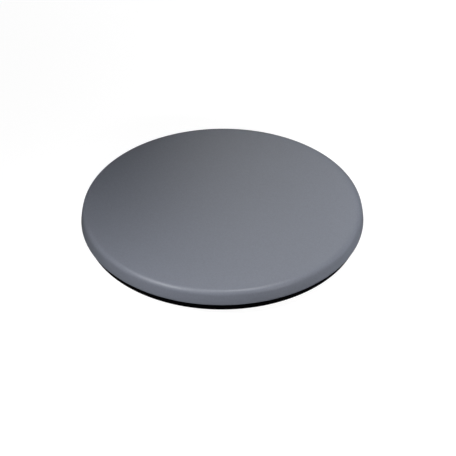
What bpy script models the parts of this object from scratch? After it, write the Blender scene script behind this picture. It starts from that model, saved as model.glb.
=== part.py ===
# Sink strainer cover: a crowned grey disc on a black carrier plate with an edge ring, three feet and
# a hub that grips the strainer's knob. Metres, +Z up. The origin is on the disc's axis, in the plane
# that the feet stand on, and -Y is the front.

import math

import bmesh
import bpy
from mathutils import Matrix
from mathutils import Vector

# Clearance between pieces that touch on the real cover
FIT = 0.0003

# Rounding of small moulded edges
EDGE_CORNER = 0.0003

# Cover disc, from its lowest corner up to the middle of its crown
DISC_RADIUS = 0.058
LIP_RADIUS = 0.0005
BAND_RADIUS = 0.0254
BAND_START = math.radians(5.5)  # tilt of the band's outward normal above level, at its foot
BAND_END = math.radians(14)  # and where it meets the shoulder
SHOULDER_RADIUS = 0.0024
CROWN_RADIUS = 1.15

# Edge ring, the black line under the disc
RING_INSET = 0.0017  # from the disc's edge
RING_HEIGHT = 0.0033
RING_WALL = 0.0017
RING_CORNER = 0.0005
LIP_DEPTH = 0.0020  # of the lip that the carrier plate clamps against the disc
LIP_HEIGHT = 0.0008
WATER_GAP = 0.0020  # left under the ring when the feet stand on a flat flange

# Carrier plate
WEB_THICKNESS = 0.0016
RIM_THICKNESS = 0.0015
RIM_ROOT = 0.0015  # how far the rim runs in under the web
RIB_COUNT = 6
RIB_WIDTH = 0.0012
RIB_HEIGHT = 0.0013
RIB_RING_GAP = 0.0036  # from the screw heads out to the round rib

# Hub of the carrier plate, and the soft sleeve in it
HUB_BORE_RADIUS = 0.0120
HUB_WALL = 0.0016
HUB_DROP = 0.0019  # below the web
HUB_LEDGE_DEPTH = 0.0011
HUB_LEDGE_HEIGHT = 0.0006
GRIP_WALL = 0.0023
BEAD_RADIUS = 0.0008

# Screws from below, and their inserts in the disc
SCREW_COUNT = 3
SCREW_CIRCLE_RADIUS = 0.027
SHANK_RADIUS = 0.0015
THREAD_REACH = 0.0024  # into the insert
HEAD_RADIUS = 0.0028
HEAD_HEIGHT = 0.0013
HEAD_CORNER = 0.0005
DRIVE_WIDTH = 0.0006
DRIVE_SPAN = 0.0030
DRIVE_DEPTH = 0.0008
INSERT_WALL = 0.0007
INSERT_LENGTH = 0.0030
GROOVE_DEPTH = 0.0002
GROOVE_WIDTH = 0.0006

# Feet, and the cups of the carrier plate that hold them
FOOT_COUNT = 3
FOOT_RADIUS = 0.0030
FOOT_CORNER = 0.0005
CUP_WALL = 0.0010
CUP_DROP = 0.0016  # below the web
CUP_RECESS = 0.0004  # into the web
CUP_MARGIN = 0.0010  # from the cup to the plate's rim

# Radii that follow
RING_RADIUS = DISC_RADIUS - RING_INSET
RING_BORE_RADIUS = RING_RADIUS - RING_WALL
LIP_BORE_RADIUS = RING_BORE_RADIUS - LIP_DEPTH
RIM_RADIUS = RING_BORE_RADIUS - FIT
STEP_RADIUS = LIP_BORE_RADIUS - FIT
RIM_BORE_RADIUS = STEP_RADIUS - RIM_ROOT
HUB_RADIUS = HUB_BORE_RADIUS + HUB_WALL
RIB_RING_RADIUS = SCREW_CIRCLE_RADIUS + HEAD_RADIUS + RIB_RING_GAP
CUP_BORE_RADIUS = FOOT_RADIUS + FIT
CUP_RADIUS = CUP_BORE_RADIUS + CUP_WALL
FOOT_CIRCLE_RADIUS = RIM_BORE_RADIUS - CUP_MARGIN - CUP_RADIUS
INSERT_BORE_RADIUS = SHANK_RADIUS + FIT
INSERT_RADIUS = INSERT_BORE_RADIUS + INSERT_WALL

# Heights above the plane that the feet stand on
RING_BOTTOM = WATER_GAP
PLATE_TOP = RING_BOTTOM + RING_HEIGHT
DISC_BOTTOM = PLATE_TOP + FIT
WEB_BOTTOM = PLATE_TOP - WEB_THICKNESS
HUB_BOTTOM = WEB_BOTTOM - HUB_DROP
GRIP_BOTTOM = HUB_BOTTOM + HUB_LEDGE_HEIGHT + FIT
GRIP_TOP = DISC_BOTTOM - FIT
FOOT_TOP = WEB_BOTTOM + CUP_RECESS - FIT

# Directions of the first screw and the first foot. The rest follow at even steps
SCREW_START = math.radians(30)
FOOT_START = math.radians(90)

LARGE_SEGMENTS = 72
MIDDLE_SEGMENTS = 48
SMALL_SEGMENTS = 20
CUT_MARGIN = 0.0005  # how far a cutter runs past a face, and a joined shape into its neighbour
MERGE_DISTANCE = 0.000001
SHARP_ANGLE = math.radians(40)


def clear_scene():
    for old in list(bpy.data.objects):
        bpy.data.objects.remove(old, do_unlink=True)


def make_material(name, colour, roughness, metallic=0.0):
    material = bpy.data.materials.new(name)
    material.use_nodes = True
    shader = material.node_tree.nodes["Principled BSDF"]
    shader.inputs["Base Color"].default_value = (*colour, 1.0)
    shader.inputs["Roughness"].default_value = roughness
    shader.inputs["Metallic"].default_value = metallic
    return material


def arc(centre, radius, start, end, steps):
    """Points of an arc in the plane of radius and height, from one angle to another."""
    points = []
    for step in range(steps + 1):
        angle = start + (end - start) * step / steps
        points.append(centre + radius * Vector((math.cos(angle), math.sin(angle))))
    return points


def rounded(corners, steps=2):
    """A closed outline from corners of (radius, height, rounding), with an arc at each rounded one."""
    points = []
    for index, (across, height, rounding) in enumerate(corners):
        corner = Vector((across, height))
        if not rounding:
            points.append(corner)
            continue
        before = Vector(corners[index - 1][:2]) - corner
        after = Vector(corners[(index + 1) % len(corners)][:2]) - corner
        half = before.angle(after) / 2
        to_arc = rounding / math.tan(half)
        middle = (before.normalized() + after.normalized()).normalized()
        centre = corner + middle * rounding / math.sin(half)
        first = corner + before.normalized() * to_arc - centre
        last = corner + after.normalized() * to_arc - centre
        start = math.atan2(first.y, first.x)
        turn = math.atan2(first.x * last.y - first.y * last.x, first.dot(last))
        points.extend(arc(centre, rounding, start, start + turn, steps))
    return points


def turn_profile(profile, segments, closed=True):
    """A mesh turned round Z from points of radius and height. An open profile ends on the axis."""
    mesh = bmesh.new()
    verts = [mesh.verts.new((point[0], 0, point[1])) for point in profile]
    edges = [mesh.edges.new(pair) for pair in zip(verts, verts[1:])]
    if closed:
        edges.append(mesh.edges.new((verts[-1], verts[0])))
    bmesh.ops.spin(
        mesh,
        geom=verts + edges,
        cent=(0, 0, 0),
        axis=(0, 0, 1),
        angle=2 * math.pi,
        steps=segments,
        use_merge=True,
    )
    bmesh.ops.remove_doubles(mesh, verts=mesh.verts, dist=MERGE_DISTANCE)
    bmesh.ops.recalc_face_normals(mesh, faces=mesh.faces)
    return mesh


def finish_mesh(name, mesh, material):
    data = bpy.data.meshes.new(name)
    mesh.to_mesh(data)
    mesh.free()
    data.materials.append(material)
    data.shade_smooth()
    data.set_sharp_from_angle(angle=SHARP_ANGLE)
    return data


def place(name, data, parent, location=(0, 0, 0), turn=0.0):
    piece = bpy.data.objects.new(name, data)
    bpy.context.scene.collection.objects.link(piece)
    piece.parent = parent
    piece.location = location
    piece.rotation_euler.z = turn
    return piece


def around(radius, count, start, height):
    """Evenly spaced places on a circle round the axis, as (location, direction)."""
    places = []
    for index in range(count):
        direction = start + 2 * math.pi * index / count
        location = Vector((radius * math.cos(direction), radius * math.sin(direction), height))
        places.append((location, direction))
    return places


def add_cylinder(mesh, radius, bottom, top, location):
    bmesh.ops.create_cone(
        mesh,
        cap_ends=True,
        segments=SMALL_SEGMENTS,
        radius1=radius,
        radius2=radius,
        depth=top - bottom,
        matrix=Matrix.Translation((location.x, location.y, (bottom + top) / 2)),
    )


def add_box(mesh, size, matrix):
    bmesh.ops.create_cube(mesh, size=1, matrix=matrix @ Matrix.Diagonal((*size, 1)))


def combine(piece, mesh, operation):
    """Joins a helper mesh to a piece, or cuts it out, in the piece's own coordinates."""
    data = bpy.data.meshes.new(piece.name + "_" + operation.lower())
    mesh.to_mesh(data)
    mesh.free()
    helper = bpy.data.objects.new(data.name, data)
    bpy.context.scene.collection.objects.link(helper)
    helper.parent = piece
    helper.hide_render = True
    helper.display_type = "WIRE"
    modifier = piece.modifiers.new(data.name, "BOOLEAN")
    modifier.operation = operation
    modifier.solver = "EXACT"
    modifier.object = helper


def disc_profile():
    """From the top of the crown, out over the shoulder and the band, to the middle of the underside."""
    lip_centre = Vector((DISC_RADIUS - LIP_RADIUS, LIP_RADIUS))
    lip = arc(lip_centre, LIP_RADIUS, BAND_START, -math.pi / 2, 4)
    foot_normal = Vector((math.cos(BAND_START), math.sin(BAND_START)))
    band = arc(lip[0] - BAND_RADIUS * foot_normal, BAND_RADIUS, BAND_END, BAND_START, 5)
    top_normal = Vector((math.cos(BAND_END), math.sin(BAND_END)))
    shoulder_centre = band[0] - SHOULDER_RADIUS * top_normal
    # The crown is a ball that touches the shoulder's arc from outside
    reach = math.sqrt((CROWN_RADIUS - SHOULDER_RADIUS) ** 2 - shoulder_centre.x**2)
    crown_centre = Vector((0, shoulder_centre.y - reach))
    meeting = math.atan2(reach, shoulder_centre.x)
    shoulder = arc(shoulder_centre, SHOULDER_RADIUS, meeting, BAND_END, 5)
    crown = arc(crown_centre, CROWN_RADIUS, math.pi / 2, meeting, 5)
    return [*crown[:-1], *shoulder[:-1], *band[:-1], *lip, Vector((0, 0))]


def make_cover_disc(parent):
    stone = make_material("grey_composite", (0.21, 0.22, 0.25), 0.42)
    data = finish_mesh("cover_disc", turn_profile(disc_profile(), LARGE_SEGMENTS, False), stone)
    disc = place("cover_disc", data, parent, (0, 0, DISC_BOTTOM))
    pockets = bmesh.new()
    depth = max(INSERT_LENGTH, THREAD_REACH) + FIT
    for location, _ in around(SCREW_CIRCLE_RADIUS, SCREW_COUNT, SCREW_START, 0):
        add_cylinder(pockets, INSERT_RADIUS + FIT, -CUT_MARGIN, depth, location)
    combine(disc, pockets, "DIFFERENCE")


def make_edge_ring(parent):
    rubber = make_material("black_elastomer", (0.012, 0.012, 0.013), 0.6)
    corner = min(RING_CORNER, 0.45 * RING_WALL)
    corners = [
        (RING_BORE_RADIUS, 0, corner),
        (RING_RADIUS, 0, corner),
        (RING_RADIUS, RING_HEIGHT, EDGE_CORNER),
        (LIP_BORE_RADIUS, RING_HEIGHT, 0),
        (LIP_BORE_RADIUS, RING_HEIGHT - LIP_HEIGHT, 0),
        (RING_BORE_RADIUS, RING_HEIGHT - LIP_HEIGHT, 0),
    ]
    ring = turn_profile(rounded(corners), LARGE_SEGMENTS)
    place("edge_ring", finish_mesh("edge_ring", ring, rubber), parent, (0, 0, RING_BOTTOM))


def plate_profile():
    """The plate's heights are measured from its top face, so all of them are below 0."""
    web = -WEB_THICKNESS
    rib = web - RIB_HEIGHT
    hub = web - HUB_DROP
    ledge = hub + HUB_LEDGE_HEIGHT
    rim_top = -LIP_HEIGHT - FIT
    rim_bottom = rim_top - RIM_THICKNESS
    return rounded(
        [
            (HUB_BORE_RADIUS - HUB_LEDGE_DEPTH, hub, 0),
            (HUB_RADIUS, hub, EDGE_CORNER),
            (HUB_RADIUS, web, 0),
            (RIB_RING_RADIUS, web, 0),
            (RIB_RING_RADIUS, rib, 0),
            (RIB_RING_RADIUS + RIB_WIDTH, rib, 0),
            (RIB_RING_RADIUS + RIB_WIDTH, web, 0),
            (RIM_BORE_RADIUS, web, 0),
            (RIM_BORE_RADIUS, rim_bottom, EDGE_CORNER),
            (RIM_RADIUS, rim_bottom, 0),
            (RIM_RADIUS, rim_top, 0),
            (STEP_RADIUS, rim_top, 0),
            (STEP_RADIUS, 0, 0),
            (HUB_BORE_RADIUS, 0, 0),
            (HUB_BORE_RADIUS, ledge, 0),
            (HUB_BORE_RADIUS - HUB_LEDGE_DEPTH, ledge, 0),
        ]
    )


def make_carrier_plate(parent):
    plastic = make_material("black_plastic", (0.016, 0.016, 0.018), 0.45)
    data = finish_mesh("carrier_plate", turn_profile(plate_profile(), LARGE_SEGMENTS), plastic)
    plate = place("carrier_plate", data, parent, (0, 0, PLATE_TOP))
    web = -WEB_THICKNESS
    cups = around(FOOT_CIRCLE_RADIUS, FOOT_COUNT, FOOT_START, 0)

    added = bmesh.new()
    rib_start = HUB_RADIUS - CUT_MARGIN
    rib_end = RIM_BORE_RADIUS + CUT_MARGIN
    rib_size = (rib_end - rib_start, RIB_WIDTH, RIB_HEIGHT + CUT_MARGIN)
    rib_middle = web + CUT_MARGIN - rib_size[2] / 2
    for location, direction in around((rib_start + rib_end) / 2, RIB_COUNT, 0, rib_middle):
        add_box(added, rib_size, Matrix.Translation(location) @ Matrix.Rotation(direction, 4, "Z"))
    for location, _ in cups:
        add_cylinder(added, CUP_RADIUS, web - CUP_DROP, web + CUT_MARGIN, location)
    combine(plate, added, "UNION")

    holes = bmesh.new()
    for location, _ in cups:
        add_cylinder(holes, CUP_BORE_RADIUS, web - CUP_DROP - CUT_MARGIN, web + CUP_RECESS, location)
    for location, _ in around(SCREW_CIRCLE_RADIUS, SCREW_COUNT, SCREW_START, 0):
        add_cylinder(holes, SHANK_RADIUS + FIT, web - CUT_MARGIN, CUT_MARGIN, location)
    combine(plate, holes, "DIFFERENCE")


def make_knob_grip(parent):
    rubber = make_material("grey_elastomer", (0.05, 0.05, 0.055), 0.65)
    height = GRIP_TOP - GRIP_BOTTOM
    outer = HUB_BORE_RADIUS - FIT
    inner = outer - GRIP_WALL
    bead = arc(Vector((inner, height / 2)), BEAD_RADIUS, 1.5 * math.pi, math.pi / 2, 6)
    profile = [Vector((inner, 0)), Vector((outer, 0)), Vector((outer, height)), Vector((inner, height))]
    grip = turn_profile(profile + bead[::-1], MIDDLE_SEGMENTS)
    place("knob_grip", finish_mesh("knob_grip", grip, rubber), parent, (0, 0, GRIP_BOTTOM))


def make_inserts(parent):
    brass = make_material("brass", (0.62, 0.42, 0.14), 0.35, 1.0)
    groove_bottom = (INSERT_LENGTH - GROOVE_WIDTH) / 2
    groove_top = groove_bottom + GROOVE_WIDTH
    profile = [
        (INSERT_BORE_RADIUS, 0),
        (INSERT_RADIUS, 0),
        (INSERT_RADIUS, groove_bottom),
        (INSERT_RADIUS - GROOVE_DEPTH, groove_bottom),
        (INSERT_RADIUS - GROOVE_DEPTH, groove_top),
        (INSERT_RADIUS, groove_top),
        (INSERT_RADIUS, INSERT_LENGTH),
        (INSERT_BORE_RADIUS, INSERT_LENGTH),
    ]
    data = finish_mesh("screw_insert", turn_profile(profile, SMALL_SEGMENTS), brass)
    places = around(SCREW_CIRCLE_RADIUS, SCREW_COUNT, SCREW_START, DISC_BOTTOM)
    for number, (location, direction) in enumerate(places, 1):
        place(f"screw_insert_{number}", data, parent, location, direction)


def make_screws(parent):
    """The origin is where the head bears on the web, and the shank points up."""
    steel = make_material("stainless_steel", (0.56, 0.56, 0.57), 0.3, 1.0)
    reach = WEB_THICKNESS + 2 * FIT + THREAD_REACH
    corner = arc(
        Vector((HEAD_RADIUS - HEAD_CORNER, HEAD_CORNER - HEAD_HEIGHT)),
        HEAD_CORNER,
        0,
        -math.pi / 2,
        3,
    )
    profile = [
        Vector((0, reach)),
        Vector((SHANK_RADIUS, reach)),
        Vector((SHANK_RADIUS, 0)),
        Vector((HEAD_RADIUS, 0)),
        *corner,
        Vector((0, -HEAD_HEIGHT)),
    ]
    data = finish_mesh("carrier_screw", turn_profile(profile, SMALL_SEGMENTS, False), steel)
    places = around(SCREW_CIRCLE_RADIUS, SCREW_COUNT, SCREW_START, WEB_BOTTOM - FIT)
    for number, (location, direction) in enumerate(places, 1):
        screw = place(f"carrier_screw_{number}", data, parent, location, direction)
        slot_size = (DRIVE_SPAN, DRIVE_WIDTH, DRIVE_DEPTH + CUT_MARGIN)
        slot_middle = Matrix.Translation((0, 0, (DRIVE_DEPTH - CUT_MARGIN) / 2 - HEAD_HEIGHT))
        for quarter in range(2):
            slot = bmesh.new()
            add_box(slot, slot_size, slot_middle @ Matrix.Rotation(quarter * math.pi / 2, 4, "Z"))
            combine(screw, slot, "DIFFERENCE")


def make_feet(parent):
    rubber = make_material("foot_rubber", (0.02, 0.02, 0.022), 0.7)
    corners = [
        (0, 0, 0),
        (FOOT_RADIUS, 0, FOOT_CORNER),
        (FOOT_RADIUS, FOOT_TOP, 0),
        (0, FOOT_TOP, 0),
    ]
    profile = rounded(corners, 3)[::-1]
    data = finish_mesh("foot", turn_profile(profile, SMALL_SEGMENTS, False), rubber)
    places = around(FOOT_CIRCLE_RADIUS, FOOT_COUNT, FOOT_START, 0)
    for number, (location, direction) in enumerate(places, 1):
        place(f"foot_{number}", data, parent, location, direction)


def main():
    clear_scene()
    origin = bpy.data.objects.new("strainer_cover", None)
    bpy.context.scene.collection.objects.link(origin)
    make_cover_disc(origin)
    make_edge_ring(origin)
    make_carrier_plate(origin)
    make_knob_grip(origin)
    make_inserts(origin)
    make_screws(origin)
    make_feet(origin)


main()
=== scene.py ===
import math

import bmesh
import bpy
from mathutils import Matrix, Vector


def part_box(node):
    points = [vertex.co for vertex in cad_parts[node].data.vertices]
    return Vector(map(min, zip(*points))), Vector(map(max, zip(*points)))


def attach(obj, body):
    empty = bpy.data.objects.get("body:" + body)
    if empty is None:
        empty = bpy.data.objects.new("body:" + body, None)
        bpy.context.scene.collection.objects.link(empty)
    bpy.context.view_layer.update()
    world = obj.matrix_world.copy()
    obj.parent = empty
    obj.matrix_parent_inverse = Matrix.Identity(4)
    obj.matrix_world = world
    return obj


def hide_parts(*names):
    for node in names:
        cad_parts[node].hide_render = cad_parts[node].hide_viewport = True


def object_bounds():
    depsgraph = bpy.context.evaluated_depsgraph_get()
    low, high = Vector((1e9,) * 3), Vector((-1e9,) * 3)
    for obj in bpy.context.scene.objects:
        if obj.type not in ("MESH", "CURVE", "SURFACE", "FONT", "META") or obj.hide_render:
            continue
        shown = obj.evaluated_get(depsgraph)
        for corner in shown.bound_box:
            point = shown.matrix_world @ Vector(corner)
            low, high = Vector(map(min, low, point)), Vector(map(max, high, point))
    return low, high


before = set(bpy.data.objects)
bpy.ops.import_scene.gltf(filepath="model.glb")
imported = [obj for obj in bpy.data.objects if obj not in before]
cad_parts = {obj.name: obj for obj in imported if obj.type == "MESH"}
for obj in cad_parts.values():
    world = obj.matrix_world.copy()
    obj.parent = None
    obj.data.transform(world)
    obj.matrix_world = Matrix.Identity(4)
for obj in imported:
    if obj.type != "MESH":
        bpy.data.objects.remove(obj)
cadLow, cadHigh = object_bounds()
millimetre = 0.001


# Sections are drawn in the XZ plane, x as the radius and z as the height, then turned round Z

def startSection(radius, height):
    section = bmesh.new()
    return section, section.verts.new((radius, 0, height))


def lineTo(section, vert, radius, height):
    grown = bmesh.ops.extrude_vert_indiv(section, verts=[vert])
    grown["verts"][0].co = (radius, 0, height)
    return grown["verts"][0]


def arcTo(section, vert, centre, degrees, steps):
    swept = bmesh.ops.spin(section, geom=[vert], cent=(centre[0], 0, centre[1]), axis=(0, -1, 0),
                           angle=math.radians(degrees), steps=steps)  # anticlockwise, x right and z up
    return next(item for item in swept["geom_last"] if isinstance(item, bmesh.types.BMVert))


def turnSection(section, segments, weldReach=1e-7):
    bmesh.ops.spin(section, geom=section.verts[:] + section.edges[:], cent=(0, 0, 0), axis=(0, 0, 1),
                   angle=2 * math.pi, steps=segments, use_merge=True)
    bmesh.ops.remove_doubles(section, verts=section.verts, dist=weldReach)
    bmesh.ops.recalc_face_normals(section, faces=section.faces)


def roundRim(mesh, radius, height, width, segments=3):
    reach = 0.01 * millimetre
    onRim = [edge for edge in mesh.edges
             if all(abs(math.hypot(vert.co.x, vert.co.y) - radius) < reach
                    and abs(vert.co.z - height) < reach for vert in edge.verts)]
    bmesh.ops.bevel(mesh, geom=onRim, offset=width, affect="EDGES", segments=segments,
                    profile=0.5, material=-1, clamp_overlap=True)


def addDrum(mesh, radius, bottom, top, x, y, segments=40, bottomRadius=None):
    return bmesh.ops.create_cone(mesh, cap_ends=True, segments=segments, radius1=bottomRadius or radius,
                                 radius2=radius, depth=top - bottom,
                                 matrix=Matrix.Translation((x, y, (bottom + top) / 2)))["verts"]


def around(radius, count, firstDegrees):
    for index in range(count):
        direction = math.radians(firstDegrees + 360 * index / count)
        yield radius * math.cos(direction), radius * math.sin(direction)


def middleOf(node):
    low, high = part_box(node)
    return (low[0] + high[0]) / 2, (low[1] + high[1]) / 2


# Pieces ride on the one body, because nothing on the cover moves

def makeObject(name, mesh, sharpDegrees=35):
    data = bpy.data.meshes.new(name)
    mesh.to_mesh(data)
    mesh.free()
    data.shade_smooth()
    data.set_sharp_from_angle(angle=math.radians(sharpDegrees))
    piece = bpy.data.objects.new(name, data)
    bpy.context.scene.collection.objects.link(piece)
    return piece


def settle(piece, node, material):
    piece.data.materials.clear()
    piece.data.materials.append(material)
    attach(piece, "root")
    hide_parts(node)
    print("made", piece.name, len(piece.data.polygons), "faces")


def combine(piece, mesh, operation):
    helper = makeObject(piece.name + "Helper", mesh)
    modifier = piece.modifiers.new("combine", "BOOLEAN")
    modifier.operation = operation
    modifier.object = helper
    graph = bpy.context.evaluated_depsgraph_get()
    result = bpy.data.meshes.new_from_object(piece.evaluated_get(graph))
    piece.modifiers.remove(modifier)
    piece.data = result
    bpy.data.objects.remove(helper)


def smoothAgain(piece, degrees):
    piece.data.shade_smooth()
    piece.data.set_sharp_from_angle(angle=math.radians(degrees))


# Materials

def newMaterial(name, roughness, metallic=0.0):
    material = bpy.data.materials.new(name)
    material.use_nodes = True
    nodes = material.node_tree.nodes
    shader = nodes["Principled BSDF"]
    shader.inputs["Roughness"].default_value = roughness
    shader.inputs["Metallic"].default_value = metallic
    place = nodes.new("ShaderNodeTexCoord").outputs["Object"]
    return material, material.node_tree.links, nodes, shader, place


def noiseOn(nodes, links, place, scale, detail=2.0, roughness=0.5):
    noise = nodes.new("ShaderNodeTexNoise")
    noise.inputs["Scale"].default_value = scale
    noise.inputs["Detail"].default_value = detail
    noise.inputs["Roughness"].default_value = roughness
    links.new(place, noise.inputs["Vector"])
    return noise.outputs["Fac"]


def spread(nodes, links, value, low, high, fromLow=0.3, fromHigh=0.7):
    mapRange = nodes.new("ShaderNodeMapRange")
    numbers = {"From Min": fromLow, "From Max": fromHigh, "To Min": low, "To Max": high}
    for socket, number in numbers.items():
        mapRange.inputs[socket].default_value = number
    links.new(value, mapRange.inputs["Value"])
    return mapRange.outputs["Result"]


def tint(nodes, links, factor, darker, lighter):
    mix = nodes.new("ShaderNodeMix")
    mix.data_type = "RGBA"
    mix.inputs["A"].default_value = (*darker, 1)
    mix.inputs["B"].default_value = (*lighter, 1)
    links.new(factor, mix.inputs["Factor"])
    return mix.outputs["Result"]


def bumpFrom(nodes, links, height, depth, normal=None):
    bump = nodes.new("ShaderNodeBump")
    bump.inputs["Strength"].default_value = 1.0
    bump.inputs["Distance"].default_value = depth
    links.new(height, bump.inputs["Height"])
    if normal:
        links.new(normal, bump.inputs["Normal"])
    return bump.outputs["Normal"]


def scaled(colour, factor):
    return tuple(channel * factor for channel in colour)


stone = {
    "colour": (0.1396, 0.1506, 0.180),
    "roughness": 0.42,
    "gloss": 0.375,
    "grainPerMetre": 4200,
    "grainContrast": 0.10,
    "fleckPerMetre": 2600,
    "fleckContrast": 0.07,
    "cloudPerMetre": 26,
    "cloudContrast": 0.02,
    "toneSwing": 0.2,  # how far the colour may go from its middle, as a share of it
    "roughnessSwing": 0.03,
    "grainDepth": 0.004 * millimetre,
    "peelPerMetre": 420,
    "peelDepth": 0.010 * millimetre,
}


def makeStone():
    material, links, nodes, shader, place = newMaterial("satinStone", stone["roughness"])
    shader.inputs["Specular IOR Level"].default_value = stone["gloss"]
    grain = noiseOn(nodes, links, place, stone["grainPerMetre"], detail=3, roughness=0.6)
    flecks = nodes.new("ShaderNodeTexVoronoi")
    flecks.inputs["Scale"].default_value = stone["fleckPerMetre"]
    links.new(place, flecks.inputs["Vector"])
    fleckTone = nodes.new("ShaderNodeRGBToBW")
    links.new(flecks.outputs["Color"], fleckTone.inputs["Color"])
    cloud = noiseOn(nodes, links, place, stone["cloudPerMetre"])
    layers = (
        (grain, stone["grainContrast"]),
        (fleckTone.outputs["Val"], stone["fleckContrast"]),
        (cloud, stone["cloudContrast"]),
    )
    tone = None
    for value, contrast in layers:
        level = spread(nodes, links, value, -contrast / 2, contrast / 2)
        if tone is None:
            tone = level
            continue
        total = nodes.new("ShaderNodeMath")
        total.operation = "ADD"
        links.new(tone, total.inputs[0])
        links.new(level, total.inputs[1])
        tone = total.outputs["Value"]
    swing = stone["toneSwing"]
    factor = spread(nodes, links, tone, 0, 1, -swing, swing)
    darker, lighter = scaled(stone["colour"], 1 - swing), scaled(stone["colour"], 1 + swing)
    links.new(tint(nodes, links, factor, darker, lighter), shader.inputs["Base Color"])
    roughness, swing = stone["roughness"], stone["roughnessSwing"]
    links.new(spread(nodes, links, grain, roughness - swing, roughness + swing), shader.inputs["Roughness"])
    peel = noiseOn(nodes, links, place, stone["peelPerMetre"], detail=1)
    soft = bumpFrom(nodes, links, peel, stone["peelDepth"])
    links.new(bumpFrom(nodes, links, grain, stone["grainDepth"], soft), shader.inputs["Normal"])
    return material


mouldings = {
    "softBlack": {"colour": (0.0018, 0.0018, 0.0021), "roughness": 0.55, "gloss": 0.01,
                  "skinPerMetre": 2600, "skinDepth": 0.004 * millimetre},
    "mouldedBlack": {"colour": (0.012, 0.012, 0.0135), "roughness": 0.46, "gloss": 0.4,
                     "skinPerMetre": 3400, "skinDepth": 0.012 * millimetre},
    "gripGrey": {"colour": (0.050, 0.051, 0.055), "roughness": 0.62, "gloss": 0.35,
                 "skinPerMetre": 2200, "skinDepth": 0.006 * millimetre},
    "footBlack": {"colour": (0.016, 0.016, 0.017), "roughness": 0.72, "gloss": 0.3,
                  "skinPerMetre": 3000, "skinDepth": 0.010 * millimetre},
}
mouldedDust = {"perMetre": 160, "darkest": 0.85, "lightest": 1.2, "smoother": 0.05, "rougher": 0.06}


def makeMoulded(name):
    look = mouldings[name]
    material, links, nodes, shader, place = newMaterial(name, look["roughness"])
    shader.inputs["Specular IOR Level"].default_value = look["gloss"]
    skin = noiseOn(nodes, links, place, look["skinPerMetre"], detail=3, roughness=0.6)
    dust = noiseOn(nodes, links, place, mouldedDust["perMetre"], detail=4, roughness=0.6)
    darker = scaled(look["colour"], mouldedDust["darkest"])
    lighter = scaled(look["colour"], mouldedDust["lightest"])
    links.new(tint(nodes, links, spread(nodes, links, dust, 0, 1), darker, lighter),
              shader.inputs["Base Color"])
    links.new(spread(nodes, links, skin, look["roughness"] - mouldedDust["smoother"],
                     look["roughness"] + mouldedDust["rougher"]), shader.inputs["Roughness"])
    links.new(bumpFrom(nodes, links, skin, look["skinDepth"]), shader.inputs["Normal"])
    return material


metals = {
    "turnedBrass": {"colour": (0.60, 0.41, 0.15), "roughness": 0.32, "dull": (0.36, 0.24, 0.10)},
    "stainless": {"colour": (0.56, 0.56, 0.57), "roughness": 0.30, "dull": (0.40, 0.40, 0.41)},
}
metalMarks = {"perMetre": 900, "stretch": (1, 1, 9), "depth": 0.006 * millimetre,  # they run round the axis
              "smoother": 0.08, "rougher": 0.12, "stainsPerMetre": 420, "mostStained": 0.6}


def makeMetal(name):
    look = metals[name]
    material, links, nodes, shader, place = newMaterial(name, look["roughness"], metallic=1.0)
    stretch = nodes.new("ShaderNodeMapping")
    stretch.inputs["Scale"].default_value = metalMarks["stretch"]
    links.new(place, stretch.inputs["Vector"])
    marks = noiseOn(nodes, links, stretch.outputs["Vector"], metalMarks["perMetre"], detail=4, roughness=0.6)
    stains = noiseOn(nodes, links, place, metalMarks["stainsPerMetre"], detail=3)
    stained = spread(nodes, links, stains, 0, metalMarks["mostStained"])
    links.new(tint(nodes, links, stained, look["colour"], look["dull"]), shader.inputs["Base Color"])
    links.new(spread(nodes, links, marks, look["roughness"] - metalMarks["smoother"],
                     look["roughness"] + metalMarks["rougher"]), shader.inputs["Roughness"])
    links.new(bumpFrom(nodes, links, marks, metalMarks["depth"]), shader.inputs["Normal"])
    return material


satinStone = makeStone()
softBlack = makeMoulded("softBlack")
mouldedBlack = makeMoulded("mouldedBlack")
gripGrey = makeMoulded("gripGrey")
footBlack = makeMoulded("footBlack")
turnedBrass = makeMetal("turnedBrass")
stainless = makeMetal("stainless")
print("materials ready")


# The grey disc: flat underside, rounded lip, leaning band, tight shoulder and a low crown

disc = {
    "segments": 288,
    "lipRadius": 0.5 * millimetre,
    "bandRadius": 25.4 * millimetre,
    "bandDegrees": (5.5, 14),  # tilt of the band's outward normal, at its foot and its head
    "shoulderRadius": 2.4 * millimetre,
    "crownRadius": 1150 * millimetre,
    "lipSteps": 8,
    "bandSteps": 12,
    "shoulderSteps": 12,
    "crownSteps": 20,
    "pocketClearance": 0.3 * millimetre,
    "pocketStart": 1 * millimetre,  # below the underside
    "pocketSegments": 40,
    "sharpDegrees": 30,
}


def pointOn(centre, radius, degrees):
    angle = math.radians(degrees)
    return centre[0] + radius * math.cos(angle), centre[1] + radius * math.sin(angle)


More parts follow.
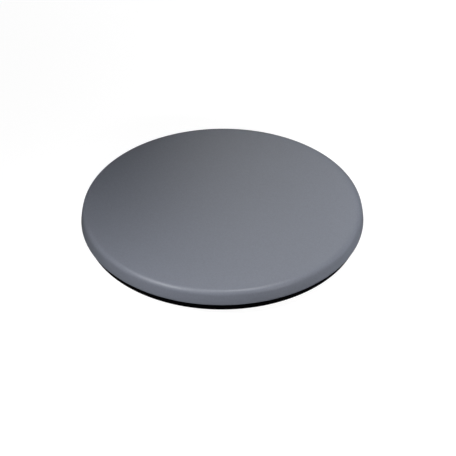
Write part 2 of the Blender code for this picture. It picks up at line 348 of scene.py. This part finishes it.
def makeCoverDisc():
    low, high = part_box("cover_disc")
    radius = (high[0] - low[0]) / 2
    lip = (radius - disc["lipRadius"], low[2] + disc["lipRadius"])
    foot, head = disc["bandDegrees"]
    bandFoot = pointOn(lip, disc["lipRadius"], foot)
    band = pointOn(bandFoot, -disc["bandRadius"], foot)
    bandHead = pointOn(band, disc["bandRadius"], head)
    shoulder = pointOn(bandHead, -disc["shoulderRadius"], head)
    inner = disc["crownRadius"] - disc["shoulderRadius"]
    crown = (0.0, shoulder[1] - math.sqrt(inner ** 2 - shoulder[0] ** 2))
    meeting = math.degrees(math.atan2(shoulder[1] - crown[1], shoulder[0]))

    section, vert = startSection(0, low[2])
    vert = lineTo(section, vert, lip[0], low[2])
    vert = arcTo(section, vert, lip, 90 + foot, disc["lipSteps"])
    vert = arcTo(section, vert, band, head - foot, disc["bandSteps"])
    vert = arcTo(section, vert, shoulder, meeting - head, disc["shoulderSteps"])
    vert = arcTo(section, vert, crown, 90 - meeting, disc["crownSteps"])
    vert.co.x = 0
    turnSection(section, disc["segments"])
    piece = makeObject("coverDisc", section, disc["sharpDegrees"])

    pockets = bmesh.new()
    for number in (1, 2, 3):
        insertLow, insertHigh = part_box(f"screw_insert_{number}")
        across = (insertHigh[0] - insertLow[0]) / 2 + disc["pocketClearance"]
        bottom = low[2] - disc["pocketStart"]
        top = insertHigh[2] + disc["pocketClearance"]
        addDrum(pockets, across, bottom, top, *middleOf(f"screw_insert_{number}"), disc["pocketSegments"])
    combine(piece, pockets, "DIFFERENCE")
    smoothAgain(piece, disc["sharpDegrees"])
    settle(piece, "cover_disc", satinStone)


# The black ring under the disc's edge, with the lip that the plate clamps

ring = {
    "segments": 256,
    "wall": 1.7 * millimetre,
    "lipDepth": 2.0 * millimetre,
    "lipHeight": 0.8 * millimetre,
    "rounding": 0.5 * millimetre,
    "roundingSteps": 5,
    "topRounding": 0.25 * millimetre,
    "lipRounding": 0.15 * millimetre,
    "lipRoundingSteps": 2,
}


def makeEdgeRing():
    low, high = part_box("edge_ring")
    outer = (high[0] - low[0]) / 2
    inner = outer - ring["wall"]
    lipInner = inner - ring["lipDepth"]
    lipLow = high[2] - ring["lipHeight"]
    section, first = startSection(inner, low[2])
    vert = first
    corners = ((outer, low[2]), (outer, high[2]), (lipInner, high[2]), (lipInner, lipLow), (inner, lipLow))
    for radius, height in corners:
        vert = lineTo(section, vert, radius, height)
    section.edges.new((vert, first))
    turnSection(section, ring["segments"])
    roundRim(section, outer, low[2], ring["rounding"], ring["roundingSteps"])
    roundRim(section, inner, low[2], ring["rounding"], ring["roundingSteps"])
    roundRim(section, outer, high[2], ring["topRounding"])
    roundRim(section, lipInner, high[2], ring["lipRounding"], ring["lipRoundingSteps"])
    roundRim(section, lipInner, lipLow, ring["lipRounding"], ring["lipRoundingSteps"])
    settle(makeObject("edgeRing", section), "edge_ring", softBlack)


# The moulded plate under the disc: web, hub, ribs, cups for the feet and a rim that holds the ring

plate = {
    "segments": 192,
    "webThickness": 1.6 * millimetre,
    "rimThickness": 1.5 * millimetre,
    "rimRoot": 1.5 * millimetre,
    "rimTopDrop": 1.1 * millimetre,
    "stepInset": 2.0 * millimetre,
    "hubBore": 12.0 * millimetre,
    "hubWall": 1.6 * millimetre,
    "ledgeDepth": 1.1 * millimetre,
    "ledgeHeight": 0.6 * millimetre,
    "ribCount": 6,
    "ribWidth": 1.2 * millimetre,
    "ribHeight": 1.3 * millimetre,
    "ribRingRadius": 33.4 * millimetre,
    "ribDraft": 0.72,
    "cupWall": 1.0 * millimetre,
    "cupTaper": 0.15 * millimetre,
    "cupDrop": 1.6 * millimetre,
    "cupRecess": 0.4 * millimetre,
    "clearance": 0.3 * millimetre,
    "overlap": 0.4 * millimetre,  # of ribs and cups with the body that they join
    "rounding": 0.3 * millimetre,
    "crestRounding": 0.2 * millimetre,
    "crestSteps": 2,
    "pinMarkRadius": 2.0 * millimetre,
    "pinMarkDepth": 0.12 * millimetre,
    "pinMarkCircles": (19.5 * millimetre, 41.5 * millimetre),
    "pinMarkStart": 30,  # degrees, half way between two ribs
    "pinMarkSpace": 8 * millimetre,  # that a screw or a foot keeps free round it
    "sharpDegrees": 32,
}


def plateSection(outer, bottom, top):
    web = top - plate["webThickness"]
    rimTop = top - plate["rimTopDrop"]
    rimBottom = rimTop - plate["rimThickness"]
    step = outer - plate["stepInset"]
    rimBore = step - plate["rimRoot"]
    hubOuter = plate["hubBore"] + plate["hubWall"]
    ledge = plate["hubBore"] - plate["ledgeDepth"]
    ledgeTop = bottom + plate["ledgeHeight"]
    ribInner = plate["ribRingRadius"]
    ribOuter = ribInner + plate["ribWidth"]
    lean = plate["ribWidth"] * (1 - plate["ribDraft"]) / 2
    ribLow = web - plate["ribHeight"]
    section, first = startSection(ledge, bottom)
    vert = first
    corners = (
        (hubOuter, bottom), (hubOuter, web),
        (ribInner, web), (ribInner + lean, ribLow), (ribOuter - lean, ribLow), (ribOuter, web),
        (rimBore, web), (rimBore, rimBottom), (outer, rimBottom), (outer, rimTop),
        (step, rimTop), (step, top),
        (plate["hubBore"], top), (plate["hubBore"], ledgeTop), (ledge, ledgeTop),
    )
    for radius, height in corners:
        vert = lineTo(section, vert, radius, height)
    section.edges.new((vert, first))
    turnSection(section, plate["segments"])
    soft, crest, crestSteps = plate["rounding"], plate["crestRounding"], plate["crestSteps"]
    roundRim(section, hubOuter, bottom, soft)
    roundRim(section, ledge, bottom, crest, crestSteps)
    roundRim(section, hubOuter, web, soft)
    roundRim(section, ribInner + lean, ribLow, crest, crestSteps)
    roundRim(section, ribOuter - lean, ribLow, crest, crestSteps)
    roundRim(section, rimBore, rimBottom, soft)
    roundRim(section, outer, rimBottom, crest, crestSteps)
    roundRim(section, rimBore, web, soft)
    return section, web, hubOuter, rimBore


def addRib(mesh, start, end, direction, web):
    length = end - start
    rise = plate["overlap"]
    depth = plate["ribHeight"] + rise
    turn = Matrix.Rotation(direction, 4, "Z")
    made = bmesh.ops.create_cube(mesh, size=1)["verts"]
    bmesh.ops.scale(mesh, vec=(length, plate["ribWidth"], depth), verts=made)
    lower = [vert for vert in made if vert.co.z < 0]
    bmesh.ops.scale(mesh, vec=(1, plate["ribDraft"], 1), verts=lower)
    crest = [edge for edge in mesh.edges if all(vert in lower for vert in edge.verts)
             and abs(edge.verts[0].co.x - edge.verts[1].co.x) > length / 2]
    rounded = bmesh.ops.bevel(mesh, geom=crest, offset=plate["crestRounding"], affect="EDGES",
                              segments=plate["crestSteps"], profile=0.5, material=-1)
    moved = list({vert for vert in made + rounded["verts"] if vert.is_valid})
    bmesh.ops.translate(mesh, vec=((start + end) / 2, 0, web + rise - depth / 2), verts=moved)
    bmesh.ops.rotate(mesh, cent=(0, 0, 0), matrix=turn, verts=moved)


def makeCarrierPlate():
    low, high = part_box("carrier_plate")
    outer = (high[0] - low[0]) / 2
    section, web, hubOuter, rimBore = plateSection(outer, low[2], high[2])
    piece = makeObject("carrierPlate", section)
    overlap = plate["overlap"]

    for index in range(plate["ribCount"]):
        rib = bmesh.new()
        addRib(rib, hubOuter - overlap, rimBore + overlap, 2 * math.pi * index / plate["ribCount"], web)
        combine(piece, rib, "UNION")

    footLow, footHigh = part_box("foot_1")
    cupBore = (footHigh[0] - footLow[0]) / 2 + plate["clearance"]
    cupOuter = cupBore + plate["cupWall"]
    cups = bmesh.new()
    holes = bmesh.new()
    for number in (1, 2, 3):
        x, y = middleOf(f"foot_{number}")
        made = addDrum(cups, cupOuter + plate["cupTaper"], web - plate["cupDrop"], web + overlap, x, y,
                       bottomRadius=cupOuter)
        edges = {edge for vert in made for edge in vert.link_edges
                 if all(end.co.z < web - plate["cupDrop"] / 2 for end in edge.verts)}
        bmesh.ops.bevel(cups, geom=list(edges), offset=plate["crestRounding"], affect="EDGES",
                        segments=plate["crestSteps"], profile=0.5, material=-1)
        addDrum(holes, cupBore, web - 2 * plate["cupDrop"], web + plate["cupRecess"], x, y)
    combine(piece, cups, "UNION")

    shank = screw["shankRadius"] + plate["clearance"]
    for number in (1, 2, 3):
        x, y = middleOf(f"carrier_screw_{number}")
        addDrum(holes, shank, web - overlap, high[2] + overlap, x, y)
    markTop = web + plate["pinMarkDepth"]
    for circle in plate["pinMarkCircles"]:
        for x, y in around(circle, plate["ribCount"], plate["pinMarkStart"]):
            nearest = min(math.dist((x, y), middleOf(f"{kind}_{number}"))
                          for kind in ("foot", "carrier_screw") for number in (1, 2, 3))
            if nearest > plate["pinMarkSpace"]:
                addDrum(holes, plate["pinMarkRadius"], web - overlap, markTop, x, y)
    combine(piece, holes, "DIFFERENCE")
    smoothAgain(piece, plate["sharpDegrees"])
    settle(piece, "carrier_plate", mouldedBlack)


# The soft sleeve in the hub, with the bead that grips the knob

grip = {
    "segments": 160,
    "wall": 2.3 * millimetre,
    "beadRadius": 0.8 * millimetre,
    "beadSteps": 14,
    "rounding": 0.35 * millimetre,
}


def makeKnobGrip():
    low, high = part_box("knob_grip")
    outer = (high[0] - low[0]) / 2
    inner = outer - grip["wall"]
    middle = (low[2] + high[2]) / 2
    bead = grip["beadRadius"]
    section, first = startSection(inner, low[2])
    vert = lineTo(section, first, outer, low[2])
    vert = lineTo(section, vert, outer, high[2])
    vert = lineTo(section, vert, inner, high[2])
    vert = lineTo(section, vert, inner, middle + bead)
    vert = arcTo(section, vert, (inner, middle), 180, grip["beadSteps"])
    section.edges.new((vert, first))
    turnSection(section, grip["segments"])
    for radius in (inner, outer):
        for height in (low[2], high[2]):
            roundRim(section, radius, height, grip["rounding"])
    settle(makeObject("knobGrip", section), "knob_grip", gripGrey)


# Rubber feet with a rounded edge and a shallow dish underneath

foot = {
    "segments": 64,
    "rounding": 0.5 * millimetre,
    "roundingSteps": 6,
    "dishRadius": 1.6 * millimetre,
    "dishFloor": 0.8,  # its flat part, as a share of the dish's radius
    "dishDepth": 0.25 * millimetre,
}


def makeFoot(number):
    node = f"foot_{number}"
    low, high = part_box(node)
    radius = (high[0] - low[0]) / 2
    edge = foot["rounding"]
    section, vert = startSection(0, low[2] + foot["dishDepth"])
    vert = lineTo(section, vert, foot["dishRadius"] * foot["dishFloor"], low[2] + foot["dishDepth"])
    vert = lineTo(section, vert, foot["dishRadius"], low[2])
    vert = lineTo(section, vert, radius - edge, low[2])
    vert = arcTo(section, vert, (radius - edge, low[2] + edge), 90, foot["roundingSteps"])
    vert = lineTo(section, vert, radius, high[2] - edge / 2)
    vert = lineTo(section, vert, radius - edge / 2, high[2])
    lineTo(section, vert, 0, high[2])
    turnSection(section, foot["segments"])
    x, y = middleOf(node)
    bmesh.ops.translate(section, vec=(x, y, 0), verts=section.verts)
    settle(makeObject(f"foot{number}", section), node, footBlack)


# Pan head screws with a cross recess, and a chamfered end on the shank

screw = {
    "segments": 64,
    "shankRadius": 1.5 * millimetre,
    "headHeight": 1.3 * millimetre,
    "headRounding": 0.55 * millimetre,
    "roundingSteps": 6,
    "headChamfer": 0.1 * millimetre,
    "tip": 0.4 * millimetre,
    "recessSpan": 3.1 * millimetre,
    "recessWidth": 0.62 * millimetre,
    "recessDepth": 0.85 * millimetre,
    "recessTaper": 0.55,
    "recessStart": 0.4 * millimetre,  # below the head
    "sharpDegrees": 35,
}


def makeCarrierScrew(number):
    node = f"carrier_screw_{number}"
    low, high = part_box(node)
    head = low[2] + screw["headHeight"]
    radius = (high[0] - low[0]) / 2
    rounding = screw["headRounding"]
    x, y = middleOf(node)
    section, vert = startSection(0, low[2])
    vert = lineTo(section, vert, radius - rounding, low[2])
    vert = arcTo(section, vert, (radius - rounding, low[2] + rounding), 90, screw["roundingSteps"])
    vert = lineTo(section, vert, radius, head - screw["headChamfer"])
    vert = lineTo(section, vert, radius - screw["headChamfer"], head)
    vert = lineTo(section, vert, screw["shankRadius"], head)
    vert = lineTo(section, vert, screw["shankRadius"], high[2] - screw["tip"])
    vert = lineTo(section, vert, screw["shankRadius"] - screw["tip"], high[2])
    lineTo(section, vert, 0, high[2])
    turnSection(section, screw["segments"])
    bmesh.ops.translate(section, vec=(x, y, 0), verts=section.verts)
    piece = makeObject(f"carrierScrew{number}", section)

    depth = screw["recessDepth"]
    below = screw["recessStart"]
    for quarter in (0, 90):
        cutter = bmesh.new()
        made = bmesh.ops.create_cube(cutter, size=1)["verts"]
        bmesh.ops.scale(cutter, vec=(screw["recessSpan"], screw["recessWidth"], depth + below), verts=made)
        deep = [vert for vert in made if vert.co.z > 0]
        bmesh.ops.scale(cutter, vec=(screw["recessTaper"], screw["recessTaper"], 1), verts=deep)
        bmesh.ops.rotate(cutter, cent=(0, 0, 0), matrix=Matrix.Rotation(math.radians(quarter), 3, "Z"),
                         verts=made)
        bmesh.ops.translate(cutter, vec=(x, y, low[2] + (depth - below) / 2), verts=made)
        combine(piece, cutter, "DIFFERENCE")
    smoothAgain(piece, screw["sharpDegrees"])
    settle(piece, node, stainless)


makeCoverDisc()
makeEdgeRing()
makeCarrierPlate()
makeKnobGrip()
for number in (1, 2, 3):
    makeFoot(number)
    makeCarrierScrew(number)
    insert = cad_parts[f"screw_insert_{number}"]  # hidden in the disc, so its own solid serves
    insert.data.materials.clear()
    insert.data.materials.append(turnedBrass)
print("pieces ready")


# Floor, lights and camera

floorLook = {
    "radius": 3.0,
    "bend": 0.8,  # where the paper curves up into the wall
    "wallHeight": 2.0,
    "bendSteps": 16,
    "segments": 96,
    "colour": (0.14, 0.14, 0.141),
    "fibresPerMetre": 300,
    "fibreDarkest": 0.99,
    "roughness": 0.75,
    "gloss": 0.2,
    "glow": 0.95,  # keeps it as white as the photograph's background
}


def makeFloor():
    flat = floorLook["radius"] - floorLook["bend"]
    section, vert = startSection(0, 0)
    vert = lineTo(section, vert, flat, 0)
    vert = arcTo(section, vert, (flat, floorLook["bend"]), 90, floorLook["bendSteps"])
    lineTo(section, vert, floorLook["radius"], floorLook["wallHeight"])
    turnSection(section, floorLook["segments"])
    floor = makeObject("studioFloor", section)
    floor.location.z = cadLow[2]
    material, links, nodes, shader, place = newMaterial("paperWhite", floorLook["roughness"])
    shader.inputs["Specular IOR Level"].default_value = floorLook["gloss"]
    shader.inputs["Emission Color"].default_value = (1, 1, 1, 1)
    shader.inputs["Emission Strength"].default_value = floorLook["glow"]
    fibres = noiseOn(nodes, links, place, floorLook["fibresPerMetre"], detail=4)
    darker = scaled(floorLook["colour"], floorLook["fibreDarkest"])
    links.new(tint(nodes, links, spread(nodes, links, fibres, 0, 1), darker, floorLook["colour"]),
              shader.inputs["Base Color"])
    material.cycles.emission_sampling = "NONE"  # it lights nothing, so no samples go to it
    floor.data.materials.append(material)
    floor.visible_diffuse = False  # it takes the shadows, but doesn't light the cover from below
    floor.visible_glossy = False


studio = {
    "worldColour": (1.0, 1.0, 1.0),
    "worldStrength": 0.08,
    "distance": 1.2,  # of every softbox from the point that it is aimed at
    "aimHeight": 14.6 * millimetre,
    "withoutShine": ("frontLow", "leftLow"),  # they only lighten the band, and don't reflect in it
    "softboxes": {  # azimuth, elevation and grid in degrees
        "overheadLeft": {
            "azimuth": 244, "elevation": 56, "size": 0.154,
            "aimAt": (-0.059, -0.123), "grid": 12, "power": 0.108,
        },
        "overheadBack": {
            "azimuth": 97, "elevation": 82, "size": 0.444,
            "aimAt": (0.041, -0.182), "grid": 15, "power": 0.311,
        },
        "farLow": {
            "azimuth": 347, "elevation": 29, "size": 0.225,
            "aimAt": (0.217, -0.110), "grid": 17, "power": 0.212,
        },
        "frontRight": {
            "azimuth": 150, "elevation": 20, "size": 0.126,
            "aimAt": (0.207, -0.058), "grid": 13, "power": 0.376,
        },
        "frontLow": {
            "azimuth": 190, "elevation": 12, "size": 0.400,
            "aimAt": (0.000, -0.050), "grid": 60, "power": 0.616,
        },
        "leftLow": {
            "azimuth": 235, "elevation": 12, "size": 0.400,
            "aimAt": (-0.030, -0.030), "grid": 60, "power": 0.221,
        },
    },
}


def directionOf(azimuth, elevation):
    # Azimuth is a compass bearing: 0 is the far side (+Y), 90 is the right (+X)
    across, up = math.radians(azimuth), math.radians(elevation)
    return Vector((math.sin(across) * math.cos(up), math.cos(across) * math.cos(up), math.sin(up)))


def makeLights():
    world = bpy.data.worlds.new("studioWorld")
    world.use_nodes = True
    background = world.node_tree.nodes["Background"]
    background.inputs["Color"].default_value = (*studio["worldColour"], 1)
    background.inputs["Strength"].default_value = studio["worldStrength"]
    bpy.context.scene.world = world
    for name, box in studio["softboxes"].items():
        data = bpy.data.lights.new(name, "AREA")
        data.shape = "DISK"
        data.size = box["size"]
        data.spread = math.radians(box["grid"])
        data.energy = box["power"]
        light = bpy.data.objects.new(name, data)
        bpy.context.scene.collection.objects.link(light)
        towards = directionOf(box["azimuth"], box["elevation"])
        light.location = Vector((*box["aimAt"], studio["aimHeight"])) + studio["distance"] * towards
        light.rotation_euler = towards.to_track_quat("Z", "Y").to_euler()
        light.visible_glossy = name not in studio["withoutShine"]


photoView = {
    "elevation": 36.97,
    "distance": 12.0,  # this and the next two in disc radii
    "across": 0.0397,  # how far the camera stands right of the disc's axis
    "above": -0.0858,  # how far it is moved up, at a right angle to its view
    "roll": 0.186,
    "lens": 133.33,
    "sensorWidth": 36,
}


def makeCamera():
    low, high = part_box("cover_disc")
    radius = (high[0] - low[0]) / 2
    up = math.radians(photoView["elevation"])
    back = Vector((0, -math.cos(up), math.sin(up)))
    upward = Vector((0, math.sin(up), math.cos(up)))
    data = bpy.data.cameras.new("photoCamera")
    data.sensor_width = photoView["sensorWidth"]
    data.lens = photoView["lens"]
    camera = bpy.data.objects.new("photoCamera", data)
    bpy.context.scene.collection.objects.link(camera)
    camera.location = (Vector((0, 0, low[2])) + back * photoView["distance"] * radius
                       + Vector((1, 0, 0)) * photoView["across"] * radius
                       + upward * photoView["above"] * radius)
    turn = back.to_track_quat("Z", "Y").to_matrix().to_4x4()
    camera.rotation_euler = (turn @ Matrix.Rotation(math.radians(-photoView["roll"]), 4, "Z")).to_euler()
    bpy.context.scene.camera = camera


makeFloor()
makeLights()
makeCamera()
bpy.context.scene.view_settings.view_transform = "Standard"
print("studio ready")
